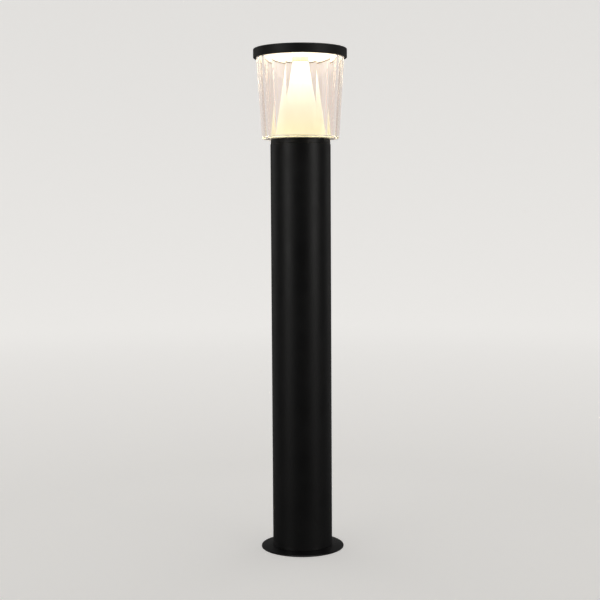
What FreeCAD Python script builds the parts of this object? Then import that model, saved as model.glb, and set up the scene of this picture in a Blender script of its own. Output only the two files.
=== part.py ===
import FreeCAD, Part
import Sketcher
import math
import os

# Bollard light, millimetres: a flanged base, a tubular pole, a collar and a fluted
# lens under a flat cap, with the driver and terminals on a tray inside the pole.
# Origin: centre of the base flange's underside. +Z up. The front faces -Y.
# Everything is built round the Z axis. Names ending in _low, _high, _top and _z
# are heights above the origin, unless their note says otherwise.

V = FreeCAD.Vector
doc = FreeCAD.newDocument("BollardLight")

# ---------------------------------------------------------------- dimensions
# alias, value, what it is
SIZES = [
    ("flange_radius", 53.2, "base flange, outside"),
    ("flange_edge", 1.5, "base flange, thickness at its rim"),
    ("flange_top", 3.0, "base flange, height where the pole stands"),
    ("flange_shoulder", 39.5, "radius where the flange starts to slope"),
    ("base_spigot_top", 36.0, "top of the base spigot"),
    ("base_land_top", 13.0, "top of the fitted land on the base spigot"),
    ("base_floor", 4.0, "thickness of the base floor"),
    ("spigot_land", 34.95, "radius of the fitted lands in the pole"),
    ("spigot_relief", 33.95, "relieved radius that the grub screws bear on"),
    ("spigot_bore", 30.0, "inside radius of both spigots"),
    ("anchor_pcd", 44.0, "pitch circle diameter of the anchor holes"),
    ("anchor_hole", 3.25, "anchor hole radius"),
    ("anchor_count", 3, "anchor holes"),
    ("entry_radius", 11.0, "cable entry in the base floor"),
    ("entry_recess", 14.5, "radius of the recess under the cable entry"),
    ("entry_recess_depth", 1.5, "its depth"),
    ("grommet_flange", 13.5, "cable grommet, flange radius"),
    ("grommet_bore", 5.0, "cable grommet, bore radius"),
    ("pole_radius", 38.3, "pole, outside"),
    ("pole_wall", 3.3, "pole wall"),
    ("pole_top", 518.5, "top of the pole"),
    ("grub_radius", 2.0, "M4 grub screw"),
    ("grub_length", 4.0, "grub screw length"),
    ("grub_clear", 0.04, "grub screw hole, extra radius"),
    ("grub_count", 2, "grub screws per joint"),
    ("grub_spread", 90.0, "degrees between the two grub screws, both at the back"),
    ("base_grub_z", 22.0, "height of the lower grub screws"),
    ("head_grub_z", 498.0, "height of the upper grub screws"),
    ("collar_radius", 37.8, "collar ring, outside"),
    ("collar_top", 525.3, "top face of the collar"),
    ("collar_web", 519.6, "underside of the collar web"),
    ("collar_spigot", 478.0, "lower end of the collar spigot"),
    ("collar_land", 507.0, "lower end of the collar's fitted land"),
    ("ring_groove_low", 510.3, "O-ring groove, lower face"),
    ("ring_groove_high", 512.3, "O-ring groove, upper face"),
    ("ring_groove_radius", 33.3, "O-ring groove floor"),
    ("ring_section", 0.82, "O-ring section radius"),
    ("ring_centre", 34.13, "O-ring centre line radius"),
    ("rod_radius", 4.0, "M8 tie rod"),
    ("rod_low", 506.5, "lower end of the tie rod"),
    ("rod_high", 636.0, "upper end of the tie rod"),
    ("rod_hole", 4.25, "clearance hole for the tie rod"),
    ("washer_radius", 8.0, "tie rod washer"),
    ("washer_thick", 1.6, "tie rod washer"),
    ("rod_seal", 1.0, "thickness of the rubber sealing washer on the tie rod"),
    ("nut_flats", 13.0, "M8 nut, across flats"),
    ("nut_height", 6.5, "M8 nut"),
    ("lens_low", 525.0, "lens, underside"),
    ("lens_flute_low", 48.25, "lens radius at mid flute, at the underside"),
    ("lens_flute_high", 54.75, "lens radius at mid flute, under the cap"),
    ("lens_wall", 3.2, "lens wall at mid flute"),
    ("lens_floor", 526.9, "top of the lens floor"),
    ("lens_floor_hole", 26.0, "radius of the hole in the lens floor"),
    ("lens_recess", 38.1, "radius of the recess in the lens underside for the collar"),
    ("lens_recess_top", 525.8, "top of that recess"),
    ("lens_neck", 54.3, "radius of the plain neck of the lens, in the cap"),
    ("lens_high", 632.6, "top of the lens"),
    ("lens_ledge", 52.6, "outer radius of the ledge for the opal disc"),
    ("flute_count", 18, "flutes"),
    ("flute_radius", 112.0, "hollow radius of a flute"),
    ("flute_turn", 11.4, "degrees from the front to the first flute"),
    ("seal_low", 29.0, "lens base seal, inner radius"),
    ("seal_high", 37.6, "lens base seal, outer radius"),
    ("cone_low_radius", 38.4, "reflector cone, outside at its foot"),
    ("cone_top_radius", 10.0, "reflector cone, outside at its top"),
    ("cone_top", 621.6, "top of the reflector cone"),
    ("cone_wall", 1.7, "reflector cone wall"),
    ("bush_radius", 11.0, "cone bush, outside"),
    ("bush_top", 627.6, "cone bush, top"),
    ("bush_bore", 7.8, "cone bush, open bore"),
    ("bush_spigot", 617.6, "cone bush, lower end"),
    ("opal_radius", 52.4, "opal disc"),
    ("opal_hole", 7.9, "radius of the hole in the opal disc"),
    ("opal_thick", 1.7, "opal disc"),
    ("opal_low", 627.7, "underside of the opal disc"),
    ("cap_low", 626.5, "cap, underside of the rim"),
    ("cap_high", 638.0, "top of the cap"),
    ("cap_radius", 59.25, "cap, outside"),
    ("cap_ceiling", 634.0, "ceiling of the cap recess"),
    ("cap_recess", 54.6, "radius of the recess in the cap"),
    ("cap_boss", 8.0, "radius of the boss for the tie rod"),
    ("cap_boss_low", 631.0, "lower end of the boss"),
    ("cap_edge_top", 1.4, "radius of the cap's upper edge"),
    ("cap_edge_low", 0.7, "radius of the cap's lower edge"),
    ("board_out", 47.0, "LED board, outer radius"),
    ("board_in", 11.0, "LED board, inner radius"),
    ("board_thick", 1.6, "LED board"),
    ("pad_thick", 0.5, "thermal pad"),
    ("chip_ring", 31.0, "pitch radius of the LEDs"),
    ("chip_count", 24, "LEDs"),
    ("board_screw_ring", 41.0, "pitch radius of the board screws"),
    ("board_screw_radius", 1.5, "M3"),
    ("board_screw_count", 3, "board screws"),
    ("tray_half", 20.0, "half width of the gear tray"),
    ("tray_face", 9.5, "y of the gear tray's front face"),
    ("tray_thick", 1.5, "gear tray sheet"),
    ("tray_low", 322.0, "lower end of the gear tray"),
    ("tray_flange", 21.0, "y of the back edge of the tray's flange"),
    ("tray_screw_x", 13.0, "tray screws, from the middle"),
    ("tray_screw_y", 16.0, "tray screws, back from the middle"),
    ("driver_half", 19.0, "driver, half width"),
    ("driver_depth", 21.0, "driver, depth"),
    ("driver_low", 386.0, "driver, lower face"),
    ("driver_high", 462.0, "driver, upper face"),
    ("ear_half", 5.5, "driver ears, half width"),
    ("ear_length", 10.0, "driver ears"),
    ("block_half", 18.0, "terminal block, half width"),
    ("block_depth", 15.0, "terminal block, depth"),
    ("block_low", 342.0, "terminal block, lower face"),
    ("block_high", 360.0, "terminal block, upper face"),
    ("pole_pitch", 12.0, "spacing of the terminals"),
    ("barrel_radius", 3.1, "terminal barrel"),
    ("lead_radius", 0.65, "LED lead"),
    ("mains_radius", 1.0, "mains lead"),
    ("lead_plane", 1.0, "LED leads, from the middle plane"),
    ("lead_hole_x", 16.0, "hole for the LED leads in the collar, from the middle"),
    ("lead_drop_x", 6.4, "LED leads in the cone bush, from the middle"),
    ("earth_z", 378.5, "height of the earth screw"),
    ("clamp_z", 330.0, "height of the cord clamp's screws"),
    ("clamp_screw_x", 10.0, "clamp screws, from the middle"),
]


class Dim:
    """A number and the spreadsheet expression it comes from."""

    def __init__(self, value, text):
        self.value = float(value)
        self.text = text

    def _join(self, other, sign, work):
        if not isinstance(other, Dim):
            other = Dim(other, "(%.6g)" % other)
        text = "(%s %s %s)" % (self.text, sign, other.text)
        return Dim(work(self.value, other.value), text)

    def __add__(self, other):
        return self._join(other, "+", float.__add__)

    def __sub__(self, other):
        return self._join(other, "-", float.__sub__)

    def __mul__(self, other):
        return self._join(other, "*", float.__mul__)

    def __truediv__(self, other):
        return self._join(other, "/", float.__truediv__)

    def __neg__(self):
        return self * -1


class Sizes:
    """Holds every dimension of the sheet as a Dim, under its alias."""


size = Sizes()
sheet = doc.addObject("Spreadsheet::Sheet", "Dimensions")
for line, (alias, value, note) in enumerate(SIZES, start=1):
    sheet.set("A%d" % line, note)
    sheet.set("B%d" % line, str(value))
    sheet.setAlias("B%d" % line, alias)
    setattr(size, alias, Dim(value, "Dimensions." + alias))
doc.recompute()

# screws and their holes, radii
M3 = size.board_screw_radius
M4 = size.grub_radius
THREAD_FIT = 0.03  # tapped hole over its screw
HOLE_CLEAR = 0.2  # clearance hole over its screw
ROD_FIT = 0.02  # close-fitting hole over the tie rod
HEX_SOCKET = 1.16  # hexagon socket, centre to corner

# heights and places that several pieces share
pad_low = size.cap_ceiling - size.pad_thick
board_low = pad_low - size.board_thick
washer_high = size.collar_web - size.rod_seal
nut_high = washer_high - size.washer_thick
tray_flange_low = size.collar_web - size.tray_thick
ear_hole_low = size.driver_low - size.ear_length / 2
ear_hole_high = size.driver_high + size.ear_length / 2
terminal_y = size.tray_face - size.block_depth / 2
block_mid = (size.block_low + size.block_high) / 2
terminal_screw_z = (("low", size.block_low + 5), ("high", size.block_low + 13))


# ---------------------------------------------------------------- helpers
def num(x):
    return x.value if isinstance(x, Dim) else float(x)


def bind(obj, prop, x):
    """Sets a property, and binds it to the sheet where the size comes from it."""
    if isinstance(x, Dim):
        obj.setExpression(prop, x.text)
    else:
        setattr(obj, prop, x)


NODES = []


def body(label):
    part = doc.addObject("PartDesign::Body", label)
    part.Label = label
    NODES.append(part)
    return part


def origin(part, role):
    return [f for f in part.Origin.OriginFeatures if f.Role == role][0]


def finish(part, feature):
    """Makes a feature the body's tip, and computes it."""
    part.Tip = feature
    doc.recompute()
    return feature


def attach(part, sketch, role, offset=None):
    """Lays a sketch on an origin plane. The normal of XZ_Plane is -Y, of YZ_Plane +X."""
    sketch.AttachmentSupport = [(origin(part, role), "")]
    sketch.MapMode = "FlatFace"
    if offset is not None:
        sketch.AttachmentOffset = FreeCAD.Placement(V(0, 0, num(offset)), FreeCAD.Rotation())
        if isinstance(offset, Dim):
            sketch.setExpression("AttachmentOffset.Base.z", offset.text)


def constrain(sketch, kind, *where):
    """Adds a constraint whose last argument is a size, bound where it is a Dim."""
    target = where[-1]
    k = sketch.addConstraint(Sketcher.Constraint(kind, *where[:-1], num(target)))
    if isinstance(target, Dim):
        sketch.setExpression("Constraints[%d]" % k, target.text)


def pin_point(sketch, geo, pos, x, y):
    """Holds one point of a sketch at x, y from the sketch's origin."""
    constrain(sketch, "DistanceX", -1, 1, geo, pos, x)
    constrain(sketch, "DistanceY", -1, 1, geo, pos, y)


def segment(start, end):
    return Part.LineSegment(V(num(start[0]), num(start[1]), 0), V(num(end[0]), num(end[1]), 0))


def outline(part, name, role, points, offset=None, axis_x=None):
    """A closed sketch through points; axis_x adds an upright construction line."""
    sketch = part.newObject("Sketcher::SketchObject", name)
    attach(part, sketch, role, offset)
    count = len(points)
    for i in range(count):
        sketch.addGeometry(segment(points[i], points[(i + 1) % count]), False)
    for i in range(count):
        sketch.addConstraint(Sketcher.Constraint("Coincident", i, 2, (i + 1) % count, 1))
    for i, (x, y) in enumerate(points):
        pin_point(sketch, i, 1, x, y)
    if axis_x is not None:
        low = (axis_x, points[0][1] - 10)
        high = (axis_x, points[0][1] + 10)
        axis = sketch.addGeometry(segment(low, high), True)
        pin_point(sketch, axis, 1, *low)
        pin_point(sketch, axis, 2, *high)
    return sketch


def spin(part, points, name="turned", kind="Revolution", axis_x=None, offset=None):
    """A full turn of a profile of (radius or x, height) points in the XZ plane.

    It turns about Z, or about the upright line at axis_x.
    """
    sketch = outline(part, name + "_profile", "XZ_Plane", points, offset, axis_x)
    turned = part.newObject("PartDesign::" + kind, name)
    turned.Profile = (sketch, [""])
    turned.ReferenceAxis = (sketch, ["V_Axis"] if axis_x is None else ["Axis0"])
    turned.Angle = 360
    return finish(part, turned)


FIRST_GRUB = 45.0  # degrees from +X to the first grub screw, towards the back

# the way a primitive's own +Z points
TURN = {
    "+Z": FreeCAD.Rotation(),
    "+Y": FreeCAD.Rotation(V(1, 0, 0), -90),
    "-Y": FreeCAD.Rotation(V(1, 0, 0), 90),
    "out": FreeCAD.Rotation(V(0, 0, 1), FIRST_GRUB) * FreeCAD.Rotation(V(0, 1, 0), 90),
}


def radial(radius, z):
    """A point at a radius in the direction of the first grub screw."""
    angle = math.radians(FIRST_GRUB)
    return (radius * math.cos(angle), radius * math.sin(angle), z)


def place(feature, at, way="+Z"):
    feature.Placement = FreeCAD.Placement(V(*[num(a) for a in at]), TURN[way])
    for axis, a in zip("xyz", at):
        if isinstance(a, Dim):
            feature.setExpression("Placement.Base." + axis, a.text)


def solid(part, kind, name, at, way="+Z", **sizes):
    """One PartDesign primitive; kind such as AdditiveCylinder or SubtractiveBox."""
    feature = part.newObject("PartDesign::" + kind, name)
    for prop, x in sizes.items():
        bind(feature, prop, x)
    place(feature, at, way)
    return finish(part, feature)


def ring(part, feature, count, name, spread=360):
    """Repeats a feature about the Z axis."""
    pattern = part.newObject("PartDesign::PolarPattern", name)
    pattern.Originals = [feature]
    pattern.Axis = (origin(part, "Z_Axis"), [""])
    bind(pattern, "Angle", spread)
    pattern.Occurrences = int(num(count))
    pattern.setExpression("Occurrences", count.text)
    return finish(part, pattern)


def row(part, feature, role, length, name, count=2, back=False):
    """Repeats a feature along an axis; length is from the first to the last."""
    pattern = part.newObject("PartDesign::LinearPattern", name)
    pattern.Originals = [feature]
    pattern.Direction = (origin(part, role), [""])
    pattern.Reversed = back
    bind(pattern, "Length", length)
    pattern.Occurrences = count
    return finish(part, pattern)


def fillet(part, base, test, radius, name):
    """Rounds the edges of base that pass the test."""
    found = ["Edge%d" % i for i, e in enumerate(base.Shape.Edges, start=1) if test(e)]
    if not found:
        raise RuntimeError("no edges for " + name)
    rounded = part.newObject("PartDesign::Fillet", name)
    rounded.Base = (base, found)
    bind(rounded, "Radius", radius)
    return finish(part, rounded)


def disc(label, name, low, radius, thick, hole, screw_hole=None):
    """A flat disc with a centre hole and, where asked, holes for the board screws."""
    part = body(label)
    through = thick + 2
    solid(part, "AdditiveCylinder", name, (0, 0, low), Radius=radius, Height=thick)
    solid(part, "SubtractiveCylinder", name + "_hole", (0, 0, low - 1),
          Radius=hole, Height=through)
    if screw_hole is not None:
        cut = solid(part, "SubtractiveCylinder", name + "_screw_hole",
                    (0, -size.board_screw_ring, low - 1), Radius=screw_hole, Height=through)
        ring(part, cut, size.board_screw_count, name + "_screw_holes")


def m3_screws(label, at, shank, head, socket, repeat=None):
    """M3 socket screws driven backwards, from their heads' seat at the point at.

    head is (radius, height); socket is (start in front of the seat, length of cut);
    repeat is (axis, distance) to a second screw.
    """
    part = body(label)
    x, seat, z = at
    head_radius, head_height = head
    socket_start, socket_cut = socket
    steps = (
        ("AdditiveCylinder", "shank", seat, "+Y", {"Radius": M3, "Height": shank}),
        ("AdditiveCylinder", "head", seat, "-Y",
         {"Radius": head_radius, "Height": head_height}),
        ("SubtractivePrism", "socket", seat - socket_start, "+Y",
         {"Polygon": 6, "Circumradius": HEX_SOCKET, "Height": socket_cut}),
    )
    for kind, name, y, way, sizes in steps:
        step = solid(part, kind, name, (x, y, z), way, **sizes)
        if repeat:
            row(part, step, *repeat, name + "s")


def rounded_path(points, radius):
    """Lines through the points, with a tangent arc at each corner."""
    path = []
    last = V(*points[0], 0)
    for before, at, after in zip(points, points[1:], points[2:]):
        corner = V(*at, 0)
        to_before = (V(*before, 0) - corner).normalize()
        to_after = (V(*after, 0) - corner).normalize()
        half = math.acos(to_before.dot(to_after)) / 2
        reach = radius / math.tan(half)
        start = corner + to_before * reach
        end = corner + to_after * reach
        inward = (to_before + to_after).normalize()
        centre = corner + inward * (radius / math.sin(half))
        path.append(Part.LineSegment(last, start))
        path.append(Part.Arc(start, centre - inward * radius, end))
        last = end
    path.append(Part.LineSegment(last, V(*points[-1], 0)))
    return path


def wire(label, role, points, offset, radius, bend):
    """A lead: a round section swept along a path in one plane, starting downwards.

    The points are (x or y, height). The path is fixed when it is built.
    """
    part = body(label)
    points = [(num(across), num(z)) for across, z in points]
    spine = part.newObject("Sketcher::SketchObject", label + "_path")
    attach(part, spine, role, offset)
    for piece in rounded_path(points, bend):
        spine.addGeometry(piece, False)
    for i in range(spine.GeometryCount):
        spine.addConstraint(Sketcher.Constraint("Block", i))
    doc.recompute()

    section = part.newObject("Sketcher::SketchObject", label + "_section")
    across, start_z = points[0]
    attach(part, section, "XY_Plane", start_z)
    if role == "XZ_Plane":
        x, y = across, -num(offset)
    else:
        x, y = num(offset), across
    section.addGeometry(Part.Circle(V(x, y, 0), V(0, 0, 1), num(radius)), False)
    pin_point(section, 0, 3, x, y)
    constrain(section, "Radius", 0, radius)
    doc.recompute()

    sweep = part.newObject("PartDesign::AdditivePipe", label + "_sweep")
    sweep.Profile = (section, [""])
    sweep.Spine = (spine, [])
    finish(part, sweep)


# ---------------------------------------------------------------- base
def base_flange():
    part = body("base_flange")
    spin(part, [
        (size.entry_recess, 0),
        (size.flange_radius, 0),
        (size.flange_radius, size.flange_edge - 0.35),
        (size.flange_radius - 0.35, size.flange_edge),
        (size.flange_shoulder, size.flange_top),
        (size.spigot_land, size.flange_top),
        (size.spigot_land, size.base_land_top),
        (size.spigot_relief, size.base_land_top + 1),
        (size.spigot_relief, size.base_spigot_top - 1),
        (size.spigot_relief - 1, size.base_spigot_top),
        (size.spigot_bore, size.base_spigot_top),
        (size.spigot_bore, size.base_floor + 2),
        (size.spigot_bore - 2, size.base_floor),
        (size.entry_radius, size.base_floor),
        (size.entry_radius, size.entry_recess_depth),
        (size.entry_recess, size.entry_recess_depth),
    ])
    hole = solid(part, "SubtractiveCylinder", "anchor_hole_cut", (0, size.anchor_pcd / 2, -1),
                 Radius=size.anchor_hole, Height=size.base_floor + 2)
    ring(part, hole, size.anchor_count, "anchor_holes")


def cable_grommet():
    underside = 0.3
    neck = size.entry_radius - 0.05
    spin(body("cable_grommet"), [
        (size.grommet_bore, underside),
        (size.grommet_flange - 1, underside),
        (size.grommet_flange, 0.9),
        (size.grommet_flange, size.entry_recess_depth),
        (neck, size.entry_recess_depth),
        (neck, size.base_floor),
        (size.grommet_flange, size.base_floor),
        (size.grommet_flange - 0.8, size.base_floor + 1.6),
        (size.grommet_bore + 3, size.base_floor + 3.2),
        (size.grommet_bore, size.base_floor + 4),
    ])


# ---------------------------------------------------------------- pole
def pole_tube():
    part = body("pole_tube")
    inner = size.pole_radius - size.pole_wall
    spin(part, [
        (inner, size.flange_top),
        (size.pole_radius - 0.3, size.flange_top),
        (size.pole_radius, size.flange_top + 0.3),
        (size.pole_radius, size.pole_top - 0.3),
        (size.pole_radius - 0.3, size.pole_top),
        (inner + 0.5, size.pole_top),
        (inner, size.pole_top - 0.5),
    ])
    for joint in ("base_grub_z", "head_grub_z"):
        at = radial(size.spigot_relief, getattr(size, joint))
        hole = solid(part, "SubtractiveCylinder", joint + "_cut", at, "out",
                     Radius=size.grub_radius + size.grub_clear, Height=8.0)
        ring(part, hole, size.grub_count, joint + "_ring", size.grub_spread)


def grub_screws(label, z):
    """M4 socket set screws, their tips on the spigot, inside the tube's outer face."""
    part = body(label)
    tip = size.spigot_relief + 0.03
    outer = tip + size.grub_length
    steps = (
        ("shank", "set", "AdditiveCylinder", tip,
         {"Radius": size.grub_radius, "Height": size.grub_length}),
        ("cup", "cup_ring", "SubtractiveCone", tip,
         {"Radius1": 1.1, "Radius2": 0.05, "Height": 0.7}),
        ("socket", "socket_ring", "SubtractivePrism", outer - 1.9,
         {"Polygon": 6, "Circumradius": HEX_SOCKET, "Height": 2.5}),
        ("lead_in", "lead_in_ring", "SubtractiveCone", outer - 0.35,
         {"Radius1": 1.0, "Radius2": 1.6, "Height": 0.6}),
    )
    for name, pattern, kind, radius, sizes in steps:
        step = solid(part, kind, label + "_" + name, radial(radius, z), "out", **sizes)
        ring(part, step, size.grub_count, label + "_" + pattern, size.grub_spread)


# ---------------------------------------------------------------- collar
def head_collar():
    part = body("head_collar")
    spin(part, [
        (size.rod_hole, size.collar_web),
        (size.spigot_bore - 0.5, size.collar_web),
        (size.spigot_bore, size.collar_web - 0.5),
        (size.spigot_bore, size.collar_spigot),
        (size.spigot_relief - 1, size.collar_spigot),
        (size.spigot_relief, size.collar_spigot + 1),
        (size.spigot_relief, size.collar_land - 1),
        (size.spigot_land, size.collar_land),
        (size.spigot_land, size.ring_groove_low),
        (size.ring_groove_radius, size.ring_groove_low),
        (size.ring_groove_radius, size.ring_groove_high),
        (size.spigot_land, size.ring_groove_high),
        (size.spigot_land, size.pole_top),
        (size.collar_radius - 0.4, size.pole_top),
        (size.collar_radius, size.pole_top + 0.4),
        (size.collar_radius, size.collar_top - 0.3),
        (size.collar_radius - 0.3, size.collar_top),
        (size.rod_hole, size.collar_top),
    ])
    cut_low = size.collar_web - 1
    solid(part, "SubtractiveCylinder", "lead_hole", (size.lead_hole_x, 0, cut_low),
          Radius=4.0, Height=size.collar_top - size.collar_web + 2)
    hole = solid(part, "SubtractiveCylinder", "tray_tapping",
                 (-size.tray_screw_x, size.tray_screw_y, cut_low),
                 Radius=M4 + 0.04, Height=5.5)
    row(part, hole, "X_Axis", size.tray_screw_x * 2, "tray_tappings")


def collar_o_ring():
    torus = doc.addObject("Part::Torus", "collar_o_ring")
    torus.Label = "collar_o_ring"
    bind(torus, "Radius1", size.ring_centre)
    bind(torus, "Radius2", size.ring_section)
    place(torus, (0, 0, (size.ring_groove_low + size.ring_groove_high) / 2))
    NODES.append(torus)


# ---------------------------------------------------------------- lens
def fluted_lens():
    part = body("fluted_lens")
    low, low_radius = size.lens_low, size.lens_flute_low
    slope = (size.lens_flute_high - low_radius) / (size.cap_low - low)
    stock = 1.6  # turned blank, outside the flutes; the ridges stay inside it
    floor_in = low_radius - size.lens_wall + slope * (size.lens_floor - low)
    spin(part, [
        (size.lens_floor_hole, size.lens_recess_top),
        (size.lens_recess, size.lens_recess_top),
        (size.lens_recess, low + 0.3),
        (size.lens_recess + 0.3, low),
        # rounded foot, in three short slopes
        (low_radius - 1.0, low),
        (low_radius + 0.1, low + 0.35),
        (low_radius + 0.85, low + 1.15),
        (low_radius + stock - 0.35, low + 2.6),
        (size.lens_flute_high + stock - 0.1, size.cap_low),
        (size.lens_neck, size.cap_low),
        (size.lens_neck, size.lens_high - 0.3),
        (size.lens_neck - 0.3, size.lens_high),
        (size.lens_ledge, size.lens_high),
        (size.lens_ledge, size.opal_low),
        (size.lens_flute_high - size.lens_wall, size.opal_low),
        (floor_in, size.lens_floor + 1.0),
        (floor_in - 1.0, size.lens_floor),
        (size.lens_floor_hole, size.lens_floor),
    ])
    # one flute: a large cylinder lying along the wall at the front
    tilt = math.atan2(num(size.lens_flute_high - low_radius), num(size.cap_low - low))
    rotation = FreeCAD.Rotation(V(1, 0, 0), math.degrees(tilt))
    along = rotation.multVec(V(0, 0, 1))
    axis_y = -(num(low_radius) + num(size.flute_radius) / math.cos(tilt))
    below = 12  # the cylinder starts this far below the lens
    flute = part.newObject("PartDesign::SubtractiveCylinder", "flute")
    bind(flute, "Radius", size.flute_radius)
    flute.Height = 135
    flute.Placement = FreeCAD.Placement(V(0, axis_y, num(low)) - along * below, rotation)
    finish(part, flute)
    # neighbouring flutes meet in ridges
    ring(part, flute, size.flute_count, "flutes")
    turn = FreeCAD.Rotation(V(0, 0, 1), num(size.flute_turn))
    part.Placement = FreeCAD.Placement(V(0, 0, 0), turn)
    part.setExpression("Placement.Rotation.Angle", size.flute_turn.text)


def lens_base_seal():
    spin(body("lens_base_seal"), [
        (size.seal_low, size.collar_top),
        (size.seal_high, size.collar_top),
        (size.seal_high, size.lens_recess_top),
        (size.seal_low, size.lens_recess_top),
    ])


# ---------------------------------------------------------------- cone, bush, disc
def reflector_cone():
    foot, top = size.cone_low_radius, size.cone_top_radius
    lip_in = foot - 6
    lip_thick = 1.7
    lean = (foot - top) / (size.cone_top - size.lens_floor)
    spin(body("reflector_cone"), [
        (lip_in, size.lens_floor),
        (foot, size.lens_floor),
        (foot + 0.15, size.lens_floor + 0.8),
        (top + 0.1, size.cone_top - 0.3),
        (top - 0.2, size.cone_top),
        (top - size.cone_wall, size.cone_top),
        (foot - size.cone_wall - lean * lip_thick, size.lens_floor + lip_thick),
        (lip_in, size.lens_floor + lip_thick),
    ])


def cone_bush():
    part = body("cone_bush")
    rod_bore = size.rod_radius + 0.1
    seat = size.cone_top
    spin(part, [
        (rod_bore, size.bush_spigot),
        (size.bush_bore - 0.3, size.bush_spigot),
        (size.bush_bore + 0.2, size.bush_spigot + 0.5),
        (size.bush_bore + 0.2, seat),
        (size.bush_radius - 0.6, seat),
        (size.bush_radius, seat + 0.6),
        (size.bush_radius, size.bush_top - 0.4),
        (size.bush_radius - 0.4, size.bush_top),
        (size.bush_bore, size.bush_top),
        (size.bush_bore, seat + 1.5),
        (rod_bore, seat + 1.5),
    ])
    for name, y in (("lead_way_a", size.lead_plane), ("lead_way_b", -size.lead_plane)):
        solid(part, "SubtractiveCylinder", name, (size.lead_drop_x, y, size.bush_spigot - 1),
              Radius=size.lead_radius + 0.1, Height=8.0)


def opal_disc():
    top = size.opal_low + size.opal_thick
    spin(body("opal_disc"), [
        (size.opal_hole, size.opal_low),
        (size.opal_radius - 0.2, size.opal_low),
        (size.opal_radius, size.opal_low + 0.2),
        (size.opal_radius, top),
        (size.opal_hole, top),
    ])


# ---------------------------------------------------------------- cap and LEDs
def rim_edge(z, radius):
    """A test for the circular edge of a given height and radius."""
    def test(edge):
        curve = edge.Curve
        return (isinstance(curve, Part.Circle) and abs(curve.Radius - num(radius)) < 1e-4
                and abs(curve.Center.z - num(z)) < 1e-4)

    return test


def top_cap():
    part = body("top_cap")
    rod_bore = size.rod_radius + ROD_FIT
    turned = spin(part, [
        (0, size.cap_high),
        (0, size.rod_high + 0.2),
        (rod_bore, size.rod_high + 0.2),
        (rod_bore, size.cap_boss_low),
        (size.cap_boss, size.cap_boss_low),
        (size.cap_boss, size.cap_ceiling),
        (size.cap_recess, size.cap_ceiling),
        (size.cap_recess, size.cap_low),
        (size.cap_radius, size.cap_low),
        (size.cap_radius, size.cap_high),
    ])
    upper = fillet(part, turned, rim_edge(size.cap_high, size.cap_radius),
                   size.cap_edge_top, "upper_edge")
    fillet(part, upper, rim_edge(size.cap_low, size.cap_radius),
           size.cap_edge_low, "lower_edge")
    hole = solid(part, "SubtractiveCylinder", "board_tapping",
                 (0, -size.board_screw_ring, size.cap_ceiling - 1),
                 Radius=M3 + THREAD_FIT, Height=3.8)
    ring(part, hole, size.board_screw_count, "board_tappings")


def cap_seal():
    """A stepped ring that fills the gap over the opal disc and the lens."""
    inner = size.lens_ledge - 2.3
    step = size.lens_ledge - 0.1
    disc_top = size.opal_low + size.opal_thick
    spin(body("cap_seal"), [
        (inner, disc_top),
        (step, disc_top),
        (step, size.lens_high),
        (size.lens_neck, size.lens_high),
        (size.lens_neck, size.cap_ceiling),
        (inner, size.cap_ceiling),
    ])


def thermal_pad():
    disc("thermal_pad", "pad", pad_low, radius=size.board_out - 0.5, thick=size.pad_thick,
         hole=size.board_in + 0.5, screw_hole=1.9)


def led_board():
    disc("led_board", "board", board_low, radius=size.board_out, thick=size.board_thick,
         hole=size.board_in, screw_hole=M3 + HOLE_CLEAR)


def led_chips():
    part = body("led_chips")
    length, width, height = 3.5, 2.8, 0.7  # along the radius, across it, down
    chip = solid(part, "AdditiveBox", "chip",
                 (size.chip_ring - length / 2, -width / 2, board_low - height),
                 Length=length, Width=width, Height=height)
    ring(part, chip, size.chip_count, "chip_ring")


def board_screws():
    """Built with the first screw on +X, then turned to bring it to the front."""
    part = body("board_screws")
    axis = size.board_screw_ring
    head_low = board_low - 1.9
    end = size.cap_ceiling + 2.4
    screw = spin(part, [
        (axis, head_low),
        (axis + 1.9, head_low),
        (axis + 2.75, board_low - 1.2),
        (axis + 2.75, board_low),
        (axis + M3, board_low),
        (axis + M3, size.cap_ceiling + 1.9),
        (axis + M3 - 0.5, end),
        (axis, end),
    ], axis_x=axis)
    ring(part, screw, size.board_screw_count, "screw_set")
    socket = solid(part, "SubtractivePrism", "socket", (axis, 0, head_low - 0.2),
                   Polygon=6, Circumradius=HEX_SOCKET, Height=1.4)
    ring(part, socket, size.board_screw_count, "sockets")
    part.Placement = FreeCAD.Placement(V(0, 0, 0), FreeCAD.Rotation(V(0, 0, 1), -90))


# ---------------------------------------------------------------- tie rod
def tie_rod():
    chamfer = 0.8
    spin(body("tie_rod"), [
        (0, size.rod_low),
        (size.rod_radius - chamfer, size.rod_low),
        (size.rod_radius, size.rod_low + chamfer),
        (size.rod_radius, size.rod_high - chamfer),
        (size.rod_radius - chamfer, size.rod_high),
        (0, size.rod_high),
    ])


def tie_rod_seal():
    disc("tie_rod_seal", "seal", washer_high, radius=size.washer_radius - 0.4,
         thick=size.rod_seal, hole=size.rod_radius + ROD_FIT)


def tie_rod_washer():
    disc("tie_rod_washer", "washer", nut_high, radius=size.washer_radius,
         thick=size.washer_thick, hole=size.rod_radius + HOLE_CLEAR)


def tie_rod_nut():
    part = body("tie_rod_nut")
    corner = size.nut_flats / math.sqrt(3)
    low = nut_high - size.nut_height
    solid(part, "AdditivePrism", "hexagon", (0, 0, low),
          Polygon=6, Circumradius=corner, Height=size.nut_height)
    solid(part, "SubtractiveCylinder", "thread", (0, 0, nut_high - 10),
          Radius=size.rod_radius + ROD_FIT, Height=14.0)
    # bevelled corners of the hexagon, below
    spin(part, [
        (corner - 0.75, low - 0.1),
        (corner + 1, low - 0.1),
        (corner + 1, low + 1.0),
    ], "corner_break", kind="Groove")


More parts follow.
